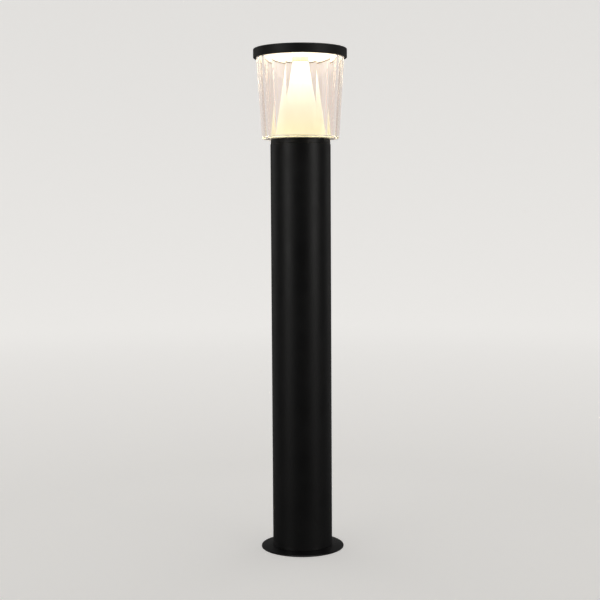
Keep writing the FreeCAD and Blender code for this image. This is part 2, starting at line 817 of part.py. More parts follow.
# ---------------------------------------------------------------- LED leads
def lead_bush():
    axis = size.lead_hole_x
    bore = axis + 2.3
    sleeve = axis + 3.95
    spin(body("lead_bush"), [
        (bore, size.collar_web - 1.2),
        (axis + 3.6, size.collar_web - 1.2),
        (sleeve, size.collar_web - 0.2),
        (sleeve, size.collar_top),
        (axis + 5.4, size.collar_top),
        (axis + 5.0, size.collar_top + 1.1),
        (bore, size.collar_top + 1.1),
    ], axis_x=axis)


def led_leads():
    """From the board, down the cone bush and through the collar, to the driver."""
    board_x, driver_x = 14.5, 9.0
    turn_z = 630.1  # where the leads run in from the board to the bush
    path = [  # x, z
        (board_x, board_low),
        (board_x, turn_z),
        (size.lead_drop_x, turn_z),
        (size.lead_drop_x, 566.0),
        (size.lead_hole_x, 540.0),
        (size.lead_hole_x, 500.0),
        (driver_x, 484.0),
        (driver_x, size.driver_high),
    ]
    for label, offset in (
        ("led_lead_positive", size.lead_plane),
        ("led_lead_negative", -size.lead_plane),
    ):
        wire(label, "XZ_Plane", path, offset, size.lead_radius, bend=0.75)


# ---------------------------------------------------------------- gear tray and driver
def along_x(y, z):
    """A test for the long edge parallel to X at y, z."""
    def test(edge):
        centre = edge.CenterOfMass
        return (abs(centre.y - num(y)) < 1e-4 and abs(centre.z - num(z)) < 1e-4
                and edge.Length > 20)

    return test


def gear_tray():
    """An upright sheet, bent back at the top into a flange under the collar web."""
    part = body("gear_tray")
    face = size.tray_face
    back = face + size.tray_thick
    sketch = outline(part, "tray_section", "YZ_Plane", [  # y, z
        (face, size.tray_low),
        (back, size.tray_low),
        (back, tray_flange_low),
        (size.tray_flange, tray_flange_low),
        (size.tray_flange, size.collar_web),
        (face, size.collar_web),
    ])
    pad = part.newObject("PartDesign::Pad", "tray_sheet")
    pad.Profile = (sketch, [""])
    pad.Type = "Length"
    pad.SideType = "Symmetric"
    bind(pad, "Length", size.tray_half * 2)
    finish(part, pad)
    inner = fillet(part, pad, along_x(back, tray_flange_low), 1.0, "inner_bend")
    fillet(part, inner, along_x(face, size.collar_web), 2.4, "outer_bend")

    cut_y = face - 2
    flange_cut = size.collar_web - 4
    m3_tapping = M3 + THREAD_FIT
    holes = [  # name, start, direction, radius
        ("tray_screw_hole_a", (-size.tray_screw_x, size.tray_screw_y, flange_cut), "+Z",
         M4 + HOLE_CLEAR),
        ("tray_screw_hole_b", (size.tray_screw_x, size.tray_screw_y, flange_cut), "+Z",
         M4 + HOLE_CLEAR),
        ("driver_tapping_low", (0, cut_y, ear_hole_low), "+Y", m3_tapping),
        ("driver_tapping_high", (0, cut_y, ear_hole_high), "+Y", m3_tapping),
        ("block_tapping", (size.pole_pitch / 2, cut_y, block_mid), "+Y", m3_tapping),
        ("earth_tapping", (size.pole_pitch, cut_y, size.earth_z), "+Y", M4 + THREAD_FIT),
        ("clamp_tapping_a", (-size.clamp_screw_x, cut_y, size.clamp_z), "+Y", m3_tapping),
        ("clamp_tapping_b", (size.clamp_screw_x, cut_y, size.clamp_z), "+Y", m3_tapping),
    ]
    for name, at, way, radius in holes:
        solid(part, "SubtractiveCylinder", name, at, way, Radius=radius, Height=8.0)
    # two slots above the driver, one each side
    slot_width, slot_low = 6.0, 474.0
    for name, x in (("slot_a", -15.0), ("slot_b", 15.0)):
        solid(part, "SubtractiveBox", name, (x - slot_width / 2, cut_y, slot_low),
              Length=slot_width, Width=8.0, Height=22.0)


def tray_screws():
    """M4 socket screws, driven up through the tray's flange into the collar."""
    part = body("tray_screws")
    axis = size.tray_screw_x
    seat = tray_flange_low
    screw = spin(part, [
        (axis, seat - 2.6),
        (axis + 2.9, seat - 2.6),
        (axis + 3.6, seat - 1.8),
        (axis + 3.6, seat),
        (axis + M4, seat),
        (axis + M4, seat + 4.6),
        (axis + M4 - 0.5, seat + 5.2),
        (axis, seat + 5.2),
    ], "screw", axis_x=axis, offset=-size.tray_screw_y)
    row(part, screw, "X_Axis", axis * 2, "screw_pair", back=True)
    socket = solid(part, "SubtractivePrism", "socket", (axis, size.tray_screw_y, seat - 3.0),
                   Polygon=6, Circumradius=1.45, Height=2.0)
    row(part, socket, "X_Axis", axis * 2, "sockets", back=True)


def led_driver():
    part = body("led_driver")
    ear_thick = 2.5
    height = size.driver_high - size.driver_low
    front = size.tray_face - size.driver_depth
    housing = solid(part, "AdditiveBox", "housing", (-size.driver_half, front, size.driver_low),
                    Length=size.driver_half * 2, Width=size.driver_depth, Height=height)
    # the four edges of the front face
    fillet(part, housing, lambda edge: abs(edge.CenterOfMass.y - num(front)) < 1e-4,
           2.0, "housing_edges")
    # one strip through the housing makes both ears
    solid(part, "AdditiveBox", "ears",
          (-size.ear_half, size.tray_face - ear_thick, size.driver_low - size.ear_length),
          Length=size.ear_half * 2, Width=ear_thick, Height=height + size.ear_length * 2)
    for name, z in (("ear_hole_low", ear_hole_low), ("ear_hole_high", ear_hole_high)):
        solid(part, "SubtractiveCylinder", name, (0, size.tray_face - 6, z), "+Y",
              Radius=M3 + HOLE_CLEAR, Height=8.0)
    # parting line of the two-part case, a shallow groove in the -X side
    groove_depth = 0.4
    solid(part, "SubtractiveBox", "parting_line",
          (-size.driver_half - 1, size.tray_face - 6.4, size.driver_low - 1),
          Length=groove_depth + 1, Width=0.5, Height=height + 2)


def driver_screws():
    m3_screws("driver_screws", (0, size.tray_face - 2.5, ear_hole_low),
              shank=6.0, head=(2.8, 2.1), socket=(2.4, 1.5),
              repeat=("Z_Axis", size.driver_high - size.driver_low + size.ear_length))


# ---------------------------------------------------------------- terminals
def terminal_row(part, kind, name, y, z, way, radius, length, pattern=None):
    """Three cylinders, one per terminal, starting from the one on the -X side."""
    first = solid(part, kind, name, (-size.pole_pitch, y, z), way,
                  Radius=radius, Height=length)
    row(part, first, "X_Axis", size.pole_pitch * 2, pattern or name + "_row", count=3)


def terminal_block():
    part = body("terminal_block")
    low = size.block_low
    height = size.block_high - low
    front = size.tray_face - size.block_depth
    solid(part, "AdditiveBox", "block", (-size.block_half, front, low),
          Length=size.block_half * 2, Width=size.block_depth, Height=height)
    bores = [  # name, z, direction, radius, length
        ("barrel_bore", low + 1.5, "+Z", size.barrel_radius + 0.05, 25.0),
        ("cable_entry", low - 1, "+Z", 2.2, 4.0),
    ]
    for name, z in terminal_screw_z:
        bores.append(("screw_well_" + name, z, "-Y", 2.0, 12.0))
    for name, z, way, radius, length in bores:
        terminal_row(part, "SubtractiveCylinder", name, terminal_y, z, way, radius, length)
    for name, y, radius in (
        ("fixing_hole", size.tray_face + 1, 1.6),
        ("fixing_well", size.tray_face - 5, 2.7),
    ):
        solid(part, "SubtractiveCylinder", name, (size.pole_pitch / 2, y, block_mid), "-Y",
              Radius=radius, Height=20.0)
    # upright slot in the front, between the -X and middle terminals
    gap = 1.6
    solid(part, "SubtractiveBox", "rib_gap", (-size.pole_pitch / 2 - gap / 2, front - 1, low - 1),
          Length=gap, Width=3.0, Height=height + 2)


def terminal_barrels():
    part = body("terminal_barrels")
    low = size.block_low
    terminal_row(part, "AdditiveCylinder", "barrel", terminal_y, low + 1.5, "+Z",
                 size.barrel_radius, 14.5)
    terminal_row(part, "SubtractiveCylinder", "wire_bore", terminal_y, low, "+Z", 1.9, 20.0)
    for name, z in terminal_screw_z:
        terminal_row(part, "SubtractiveCylinder", "tapping_" + name, terminal_y, z, "-Y",
                     M3 + THREAD_FIT, 12.0)


def terminal_screws():
    """Slotted screws, each ending just clear of the lead's radius in its barrel."""
    part = body("terminal_screws")
    length = 4.6
    slot_length, slot_width = 4.0, 0.5
    tip = terminal_y - size.mains_radius - 0.05
    for name, z in terminal_screw_z:
        terminal_row(part, "AdditiveCylinder", "screw_" + name, tip, z, "-Y", M3, length,
                     pattern="screws_" + name)
    for name, z in terminal_screw_z:
        at = (-size.pole_pitch - slot_length / 2, tip - length - 0.1, z - slot_width / 2)
        slot = solid(part, "SubtractiveBox", "slot_" + name, at,
                     Length=slot_length, Width=0.8, Height=slot_width)
        row(part, slot, "X_Axis", size.pole_pitch * 2, "slots_" + name, count=3)


def terminal_fixing_screw():
    m3_screws("terminal_fixing_screw", (size.pole_pitch / 2, size.tray_face - 5, block_mid),
              shank=8.0, head=(2.6, 2.0), socket=(2.1, 1.4))


# ---------------------------------------------------------------- mains leads
LEAD_END = 352.5  # lower end of the mains leads, in the barrels


def driver_lead(label, x, bulge):
    """A lead from the driver down to a terminal, bulging sideways on its way."""
    path = [  # x, z
        (x, size.driver_low), (x, 380.0), (x + bulge, 373.0), (x, 366.0), (x, LEAD_END),
    ]
    wire(label, "XZ_Plane", path, -terminal_y, size.mains_radius, bend=3.0)


def earth_lead():
    lug_y = 7.5
    path = [  # y, z
        (lug_y, 374.9), (lug_y, 371.0), (terminal_y, 365.5), (terminal_y, LEAD_END),
    ]
    wire("earth_lead", "YZ_Plane", path, size.pole_pitch, size.mains_radius, bend=2.5)


def earth_lug():
    part = body("earth_lug")
    x, z = size.pole_pitch, size.earth_z
    thick, crimp_thick = 0.8, 0.99
    width = 3.0
    solid(part, "AdditiveCylinder", "ring", (x, size.tray_face - thick, z), "+Y",
          Radius=3.9, Height=thick)
    solid(part, "AdditiveBox", "tongue", (x - width / 2, size.tray_face - thick, z - 5.3),
          Length=width, Width=thick, Height=5.0)
    solid(part, "AdditiveBox", "crimp", (x - width / 2, size.tray_face - crimp_thick, z - 6.3),
          Length=width, Width=crimp_thick, Height=2.7)
    solid(part, "SubtractiveCylinder", "hole", (x, size.tray_face - 3, z), "+Y",
          Radius=M4 + 0.1, Height=6.0)


def earth_screw():
    part = body("earth_screw")
    x, z = size.pole_pitch, size.earth_z
    seat = size.tray_face - 0.8
    slot_length, slot_width = 8.0, 0.8
    solid(part, "AdditiveCylinder", "shank", (x, seat, z), "+Y", Radius=M4, Height=5.5)
    solid(part, "AdditiveCylinder", "head", (x, seat, z), "-Y", Radius=3.5, Height=2.4)
    solid(part, "SubtractiveBox", "slot", (x - slot_length / 2, seat - 2.8, z - slot_width / 2),
          Length=slot_length, Width=1.5, Height=slot_width)


# ---------------------------------------------------------------- cable clamp
CLAMP_DEPTH = 6.5


def cord_clamp():
    part = body("cord_clamp")
    length, height = 28.0, 10.0
    face, z = size.tray_face, size.clamp_z
    solid(part, "AdditiveBox", "bridge", (-length / 2, face - CLAMP_DEPTH, z - height / 2),
          Length=length, Width=CLAMP_DEPTH, Height=height)
    solid(part, "SubtractiveCylinder", "channel", (0, face, z - 10), Radius=4.6, Height=20.0)
    for name, x in (("hole_a", -size.clamp_screw_x), ("hole_b", size.clamp_screw_x)):
        solid(part, "SubtractiveCylinder", name, (x, face - 9, z), "+Y",
              Radius=M3 + HOLE_CLEAR, Height=12.0)


def clamp_screws():
    at = (-size.clamp_screw_x, size.tray_face - CLAMP_DEPTH, size.clamp_z)
    m3_screws("clamp_screws", at, shank=10.0, head=(2.8, 2.1), socket=(2.2, 1.4),
              repeat=("X_Axis", size.clamp_screw_x * 2))


# ---------------------------------------------------------------- build
base_flange()
cable_grommet()
pole_tube()
grub_screws("base_grub_screws", size.base_grub_z)
grub_screws("head_grub_screws", size.head_grub_z)
head_collar()
collar_o_ring()
fluted_lens()
lens_base_seal()
reflector_cone()
cone_bush()
opal_disc()
top_cap()
cap_seal()
thermal_pad()
led_board()
led_chips()
board_screws()
tie_rod()
tie_rod_seal()
tie_rod_washer()
tie_rod_nut()
lead_bush()
led_leads()
gear_tray()
tray_screws()
led_driver()
driver_screws()
terminal_block()
terminal_barrels()
terminal_screws()
terminal_fixing_screw()
driver_lead("live_lead", x=num(-size.pole_pitch), bulge=-2.5)
driver_lead("neutral_lead", x=0.0, bulge=-2.0)
earth_lead()
earth_lug()
earth_screw()
cord_clamp()
clamp_screws()
doc.recompute()

# ---------------------------------------------------------------- check and write
bad = []
for obj in doc.Objects:
    if "Invalid" in obj.State or "Error" in obj.State:
        bad.append("%s: %s" % (obj.Name, obj.State))
for node in NODES:
    shape = node.Shape
    if shape.isNull() or not shape.isValid() or not shape.Solids:
        bad.append("%s: shape null, not valid or without a solid" % node.Label)
if bad:
    raise RuntimeError("\n".join(bad))

os.makedirs("parts", exist_ok=True)
for node in NODES:
    shape = node.Shape
    if node.TypeId == "PartDesign::Body" and len(shape.Solids) == 1:
        shape = shape.Solids[0]
    shape.exportStep("parts/%s.step" % node.Label)
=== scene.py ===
"""A black bollard lamp with a clear fluted head, standing in a pale round studio.

Metres, +Z up. The pole stands on the Z axis with its flange at z = 0 and the lit head on top.
The camera looks along +Y, so -Y is the front and +X is on the right.
"""

import math

import bpy
from mathutils import Matrix, Vector


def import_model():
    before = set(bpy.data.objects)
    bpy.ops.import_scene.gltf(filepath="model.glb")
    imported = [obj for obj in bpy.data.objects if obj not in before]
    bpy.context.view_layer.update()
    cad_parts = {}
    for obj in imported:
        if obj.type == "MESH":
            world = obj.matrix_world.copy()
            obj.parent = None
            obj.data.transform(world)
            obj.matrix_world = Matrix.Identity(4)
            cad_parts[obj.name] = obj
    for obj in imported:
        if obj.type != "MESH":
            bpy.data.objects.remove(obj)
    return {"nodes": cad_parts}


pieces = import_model()["nodes"]
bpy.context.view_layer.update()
scene = bpy.context.scene

# Parts of the noise range that a remap stretches: the narrow one gives the stronger contrast.
NARROW = (0.35, 0.65)
BROAD = (0.3, 0.7)

PLASTIC_IOR = 1.5
LAMP_COLOUR = (1.0, 0.93, 0.70, 1)


# ------------------------------------------------------------------ shader helpers
def feed(node, inputs):
    """Link each input to a socket, or set it to a plain value."""
    for key, value in inputs.items():
        if isinstance(value, bpy.types.NodeSocket):
            node.id_data.links.new(value, node.inputs[key])
        else:
            node.inputs[key].default_value = value


def add_node(tree, kind, inputs=None, **settings):
    node = tree.nodes.new("ShaderNode" + kind)
    for key, value in settings.items():
        setattr(node, key, value)
    feed(node, inputs or {})
    return node


def empty_material(name):
    material = bpy.data.materials.new(name)
    material.use_nodes = True
    tree = material.node_tree
    tree.nodes.clear()
    return material, tree, add_node(tree, "OutputMaterial")


def principled_material(name):
    material, tree, output = empty_material(name)
    surface = add_node(tree, "BsdfPrincipled")
    feed(output, {"Surface": surface.outputs["BSDF"]})
    return material, tree, surface


def coords(tree, scale=(1, 1, 1)):
    """Object coordinates, in metres, times scale. Every CAD node sits at the origin."""
    source = add_node(tree, "TexCoord")
    inputs = {"Scale": scale, "Vector": source.outputs["Object"]}
    return add_node(tree, "Mapping", inputs).outputs["Vector"]


def noise(tree, vector, scale, detail):
    inputs = {"Scale": scale, "Detail": detail, "Roughness": 0.55, "Vector": vector}
    return add_node(tree, "TexNoise", inputs).outputs["Fac"]


def remap(tree, value, span, to=(0.0, 1.0)):
    """Carry the range span onto the range to, clamped at both ends."""
    return add_node(tree, "MapRange", {
        "From Min": span[0], "From Max": span[1],
        "To Min": to[0], "To Max": to[1],
        "Value": value,
    }).outputs["Result"]


def mix_colour(tree, factor, *colours):
    """Blend two colours, each an RGB tuple or a socket."""
    first, second = ((*c, 1) if isinstance(c, tuple) else c for c in colours)
    # a Mix node's colour sockets are inputs 6 and 7 and output 2
    inputs = {"Factor": factor, 6: first, 7: second}
    return add_node(tree, "Mix", inputs, data_type="RGBA").outputs[2]


def mottle(tree, pattern, first, second, span=NARROW):
    """Two colours spread by a noise pattern."""
    return mix_colour(tree, remap(tree, pattern, span), first, second)


def maths(tree, operation, *values):
    return add_node(tree, "Math", dict(enumerate(values)), operation=operation).outputs[0]


def bump(tree, height, distance, strength, normal=None):
    inputs = {"Distance": distance, "Strength": strength, "Height": height}
    if normal is not None:
        inputs["Normal"] = normal
    return add_node(tree, "Bump", inputs).outputs["Normal"]


def edge_mask(tree, radius):
    """About 0 on flat faces and 1 along edges, from how far a bevelled normal leans away."""
    bevel = add_node(tree, "Bevel", {"Radius": radius}, samples=4)
    geometry = add_node(tree, "NewGeometry")
    normals = {0: bevel.outputs["Normal"], 1: geometry.outputs["Normal"]}
    dot = add_node(tree, "VectorMath", normals, operation="DOT_PRODUCT")
    return remap(tree, dot.outputs["Value"], span=(0.995, 0.86))


def worn_edges(tree, colour, edge, radius, amount=0.6):
    wear = maths(tree, "MULTIPLY", edge_mask(tree, radius), amount)
    return mix_colour(tree, wear, colour, edge)


def ray_masks(tree):
    """The light path, and two masks of its rays.

    through: rays that come through clear plastic and haven't bounced off a matt surface yet.
    seen: those and the camera's own rays.
    """
    path = add_node(tree, "LightPath").outputs
    through = maths(tree, "MINIMUM", path["Transmission Depth"], 1.0)
    unscattered = maths(tree, "LESS_THAN", path["Diffuse Depth"], 0.5)
    through = maths(tree, "MULTIPLY", through, unscattered)
    seen = maths(tree, "MAXIMUM", path["Is Camera Ray"], through)
    return path, through, seen


def put(material, *names):
    for name in names:
        slots = pieces[name].data.materials
        slots.clear()
        slots.append(material)


# ------------------------------------------------------------------ general finishes
def powder_coat(name, base=(0.0095, 0.0095, 0.0098), rough=(0.40, 0.50)):
    """Black powder coat: cloudy, finely speckled, and patchily worn along its edges."""
    material, tree, surface = principled_material(name)
    vector = coords(tree)
    cloud = noise(tree, vector, scale=22.0, detail=5.0)
    speck = noise(tree, vector, scale=2600.0, detail=2.0)
    ripple = noise(tree, vector, scale=900.0, detail=2.0)

    dark, light = (tuple(c * shade for c in base) for shade in (0.85, 1.2))
    colour = mottle(tree, cloud, dark, light)
    edges = edge_mask(tree, radius=0.0007)
    patchy = remap(tree, noise(tree, vector, scale=160.0, detail=3.0), span=(0.45, 0.65))
    wear = maths(tree, "MULTIPLY", edges, patchy)
    wear = maths(tree, "MULTIPLY", wear, 0.5)  # at most half worn

    roughness = remap(tree, cloud, BROAD, to=rough)
    grit = remap(tree, speck, BROAD, to=(-0.02, 0.02))
    fine = bump(tree, speck, distance=0.00003, strength=0.5)
    feed(surface, {
        "Base Color": mix_colour(tree, wear, colour, (0.045, 0.044, 0.043)),
        "Roughness": maths(tree, "ADD", roughness, grit),
        "IOR": PLASTIC_IOR,
        "Normal": bump(tree, ripple, distance=0.00006, strength=0.35, normal=fine),
    })
    return material


def plain(name, first, second, rough=(0.4, 0.55), grain=900.0, depth=0.00003, strength=0.4,
          metallic=0.0, edge=None):
    """Two mottled tones over a fine grain, with paler edges where an edge colour is given."""
    material, tree, surface = principled_material(name)
    vector = coords(tree)
    soft = noise(tree, vector, scale=grain * 0.2, detail=4.0)
    colour = mottle(tree, soft, first, second)
    if edge is not None:
        colour = worn_edges(tree, colour, edge, radius=0.0004)
    fine = noise(tree, vector, scale=grain, detail=2.0)
    feed(surface, {
        "Base Color": colour,
        "Roughness": remap(tree, soft, BROAD, to=rough),
        "Metallic": metallic,
        "Normal": bump(tree, fine, depth, strength),
    })
    return material


def turned_metal(name, first, second, rough=(0.25, 0.4), edge=(0.8, 0.8, 0.8)):
    """Metal with fine turning marks round its axis."""
    material, tree, surface = principled_material(name)
    soft = noise(tree, coords(tree), scale=400.0, detail=3.0)
    lines = noise(tree, coords(tree, scale=(120, 120, 5200)), scale=1.0, detail=2.0)
    colour = mottle(tree, soft, first, second)
    feed(surface, {
        "Base Color": worn_edges(tree, colour, edge, radius=0.0003),
        "Metallic": 1.0,
        "Roughness": remap(tree, lines, BROAD, to=rough),
        "Normal": bump(tree, lines, distance=0.00002, strength=0.4),
    })
    return material


# ------------------------------------------------------------------ materials of the lit head
def clear_polycarbonate():
    """The fluted lens."""
    material, tree, surface = principled_material("clear_polycarbonate")
    haze = noise(tree, coords(tree), scale=40.0, detail=3.0)
    # faint flow lines of the moulding
    flow = noise(tree, coords(tree, scale=(60, 60, 4)), scale=1.0, detail=2.0)
    feed(surface, {
        "Base Color": mottle(tree, haze, (0.98, 0.912, 0.872), (0.99, 0.93, 0.895), BROAD),
        "Roughness": remap(tree, haze, BROAD, to=(0.02, 0.06)),
        "IOR": PLASTIC_IOR,
        "Transmission Weight": 1.0,
        # painted glow: a faint emission that stands in for the lamp's light scattered in the
        # moulding
        "Emission Color": (1.0, 0.88, 0.82, 1),
        "Emission Strength": 0.018,
        "Normal": bump(tree, flow, distance=0.0002, strength=0.02),
    })
    return material


def white_reflector():
    """The cone: white, with a painted glow on its lower wall, warmer towards the foot, that
    stands in for the lamp's light it sends outward.
    """
    painted_glow_heights = (0.535, 0.600)  # z where the foot's glow is full, and where it has faded

    material, tree, surface = principled_material("white_reflector")
    vector = coords(tree)
    soft = noise(tree, vector, scale=55.0, detail=4.0)
    fine = noise(tree, vector, scale=1500.0, detail=2.0)
    height = add_node(tree, "SeparateXYZ", {0: coords(tree)}).outputs["Z"]
    # painted glow: a mask of the cone's foot, where the painted emission is strongest and warmest
    foot = remap(tree, height, painted_glow_heights, to=(1.0, 0.0))
    glow = remap(tree, foot, span=(0.0, 1.0), to=(0.45, 0.72))
    # painted light: faint upright streaks in the glow, standing in for the light that the flutes
    # gather
    painted_streaks = noise(tree, coords(tree, scale=(170, 170, 9)), scale=1.0, detail=2.0)
    painted_streaks = remap(tree, painted_streaks, NARROW, to=(0.88, 1.10))
    feed(surface, {
        "Base Color": mottle(tree, soft, (0.90, 0.885, 0.85), (0.94, 0.93, 0.90)),
        "Roughness": remap(tree, soft, BROAD, to=(0.42, 0.55)),
        "Normal": bump(tree, fine, distance=0.00002, strength=0.3),
        # painted glow: emission on the white reflector, warmer at the foot, with faint painted
        # streaks through it
        "Emission Color": mix_colour(tree, foot, (1.0, 1.0, 0.95), (1.0, 0.97, 0.55)),
        "Emission Strength": maths(tree, "MULTIPLY", glow, painted_streaks),
    })
    return material


def opal_diffuser():
    """The glowing disc: lights the cone strongly, but is only just past white to the eye."""
    lighting_strength, seen_strength = 4.5, 1.3
    # painted reflection: extra glow on the disc that only its single reflection in the lens wall
    # shows
    painted_glint_strength = 1.3  # added in the single reflection that the lens wall shows under the cap

    material, tree, surface = principled_material("opal_diffuser")
    soft = noise(tree, coords(tree), scale=90.0, detail=3.0)
    path, through, seen = ray_masks(tree)
    # the last value is how far from 1 the depth may be
    once = maths(tree, "COMPARE", path["Glossy Depth"], 1.0, 0.5)
    # painted reflection: the glint counts only where a ray has come through the lens and
    # reflected once
    painted_glint = maths(tree, "MULTIPLY", through, once)
    painted_glint = maths(tree, "MULTIPLY", painted_glint, painted_glint_strength)
    glow = remap(tree, seen, span=(0.0, 1.0), to=(lighting_strength, seen_strength))
    feed(surface, {
        "Base Color": mottle(tree, soft, (0.93, 0.92, 0.9), (0.96, 0.955, 0.94), BROAD),
        "Roughness": remap(tree, soft, BROAD, to=(0.35, 0.5)),
        "Emission Color": LAMP_COLOUR,
        "Emission Strength": maths(tree, "ADD", glow, painted_glint),
    })
    return material


def led_phosphor():
    material, tree, surface = principled_material("led_phosphor")
    soft = noise(tree, coords(tree), scale=900.0, detail=3.0)
    feed(surface, {
        "Base Color": mottle(tree, soft, (0.85, 0.62, 0.12), (0.9, 0.7, 0.2), BROAD),
        "Roughness": remap(tree, soft, BROAD, to=(0.3, 0.45)),
        "Emission Color": LAMP_COLOUR,
        "Emission Strength": 4.0,
    })
    return material


# ------------------------------------------------------------------ outer pieces and lit head
put(powder_coat("powder_coat_pole"), "pole_tube", "head_collar")
put(powder_coat("powder_coat_flange", base=(0.0032, 0.0032, 0.0034), rough=(0.26, 0.34)),
    "base_flange")
put(powder_coat("powder_coat_cap", base=(0.013, 0.0124, 0.0118), rough=(0.48, 0.58)), "top_cap")
put(clear_polycarbonate(), "fluted_lens")
put(white_reflector(), "reflector_cone")
# painted shade: the bush's tan tone stands in for the shade where the cone's neck meets the disc;
# the nylon itself is paler
put(plain("natural_nylon", (0.68, 0.58, 0.42), (0.75, 0.66, 0.50),
          rough=(0.45, 0.6), grain=1500.0, strength=0.3), "cone_bush")
put(opal_diffuser(), "opal_disc")
put(led_phosphor(), "led_chips")

# ------------------------------------------------------------------ seals and inner pieces
put(plain("black_rubber", (0.016, 0.016, 0.016), (0.026, 0.026, 0.025),
          rough=(0.6, 0.8), grain=700.0), "cable_grommet", "collar_o_ring", "tie_rod_seal")
put(plain("white_silicone", (0.72, 0.71, 0.69), (0.80, 0.79, 0.77),
          rough=(0.45, 0.6), grain=700.0), "lens_base_seal", "cap_seal")
put(turned_metal("stainless_steel", (0.52, 0.52, 0.51), (0.62, 0.61, 0.6)),
    "tie_rod", "tie_rod_washer", "tie_rod_nut", "board_screws", "tray_screws", "driver_screws",
    "terminal_screws", "terminal_fixing_screw", "earth_screw", "clamp_screws")
put(turned_metal("black_oxide_steel", (0.03, 0.03, 0.032), (0.05, 0.05, 0.05),
                 rough=(0.3, 0.45), edge=(0.2, 0.2, 0.2)), "base_grub_screws", "head_grub_screws")
put(turned_metal("brass", (0.62, 0.42, 0.14), (0.72, 0.5, 0.2)), "terminal_barrels")
put(turned_metal("tinned_copper", (0.58, 0.55, 0.5), (0.68, 0.65, 0.6)), "earth_lug")
put(plain("zinc_plated_sheet", (0.55, 0.56, 0.57), (0.66, 0.67, 0.68), rough=(0.3, 0.5),
          grain=500.0, depth=0.00002, metallic=0.9, edge=(0.8, 0.8, 0.8)), "gear_tray")
put(plain("driver_case", (0.7, 0.7, 0.68), (0.78, 0.78, 0.76), rough=(0.45, 0.6),
          depth=0.00004, edge=(0.85, 0.85, 0.84)), "led_driver")
put(plain("terminal_plastic", (0.62, 0.64, 0.62), (0.7, 0.72, 0.7), rough=(0.3, 0.45)),
    "terminal_block")
put(plain("black_nylon", (0.014, 0.014, 0.014), (0.024, 0.024, 0.023)), "lead_bush", "cord_clamp")
put(plain("board_white", (0.78, 0.78, 0.75), (0.85, 0.85, 0.83), rough=(0.3, 0.45), grain=700.0),
    "led_board")
put(plain("thermal_pad_grey", (0.3, 0.35, 0.38), (0.38, 0.43, 0.46), rough=(0.6, 0.75)),
    "thermal_pad")

# lead, and the two tones of its jacket
LEADS = (
    ("led_lead_positive", (0.5, 0.02, 0.012), (0.6, 0.03, 0.02)),
    ("led_lead_negative", (0.012, 0.012, 0.012), (0.02, 0.02, 0.02)),
    ("live_lead", (0.12, 0.045, 0.015), (0.17, 0.07, 0.03)),
    ("neutral_lead", (0.02, 0.08, 0.38), (0.03, 0.12, 0.48)),
    ("earth_lead", (0.1, 0.32, 0.02), (0.62, 0.55, 0.03)),
)
for lead, first, second in LEADS:
    put(plain(lead + "_jacket", first, second, rough=(0.35, 0.5)), lead)


# ------------------------------------------------------------------ studio paper
FLAT_RADII = (0.0, 0.35, 0.8, 1.5, 2.3)  # rings of the flat floor, from the centre out
BEND_RADIUS = 1.4
BEND_STEPS = 20
WALL_TOP = 4.6
COVE_TURNS = 96
FLOOR_DROP = 0.0003  # a hair under the flange, so that the two faces don't share a plane

PAPER = (0.80, 0.785, 0.76)
PAPER_GLOW_COLOUR = (1.0, 0.985, 0.96, 1)
GLOW_DISTANCES = (0.5, 2.6)  # from the origin: the glow grows from floor to wall between them
GLOW_STRENGTHS = (0.34, 0.62)
THROUGH_GLOW = -0.10  # added to the glow seen through the lens
FLAG_Y = (-0.3, 1.2)  # front to back
FLAG_GREYS = (0.08, 0.5)  # the paper as a source of bounced light, at those two places


def studio_paper():
    """Bright to the eye and through the lens; darker as a source of bounced light, the way
    flags are set round a black object so that it stays black."""
    material, tree, output = empty_material("studio_paper")
    _, through, seen = ray_masks(tree)
    geometry = add_node(tree, "NewGeometry").outputs
    place = add_node(tree, "SeparateXYZ", {0: geometry["Position"]})
    grey = remap(tree, place.outputs["Y"], FLAG_Y, to=FLAG_GREYS)
    flag = add_node(tree, "CombineColor", dict.fromkeys(("Red", "Green", "Blue"), grey))
    colour = mix_colour(tree, seen, flag.outputs["Color"], PAPER)
    diffuse = add_node(tree, "BsdfDiffuse", {"Color": colour})

    distance = add_node(tree, "VectorMath", {0: geometry["Position"]}, operation="LENGTH")
    strength = remap(tree, distance.outputs["Value"], GLOW_DISTANCES, to=GLOW_STRENGTHS)
    dimming = maths(tree, "MULTIPLY", through, THROUGH_GLOW)
    strength = maths(tree, "ADD", strength, dimming)
    strength = maths(tree, "MULTIPLY", strength, seen)
    glow = add_node(tree, "Emission", {"Color": PAPER_GLOW_COLOUR, "Strength": strength})

    # clear from behind
    front = add_node(tree, "AddShader", {0: diffuse.outputs[0], 1: glow.outputs[0]})
    clear = add_node(tree, "BsdfTransparent")
    sides = add_node(tree, "MixShader", {
        0: geometry["Backfacing"], 1: front.outputs[0], 2: clear.outputs[0],
    })
    feed(output, {"Surface": sides.outputs[0]})
    return material


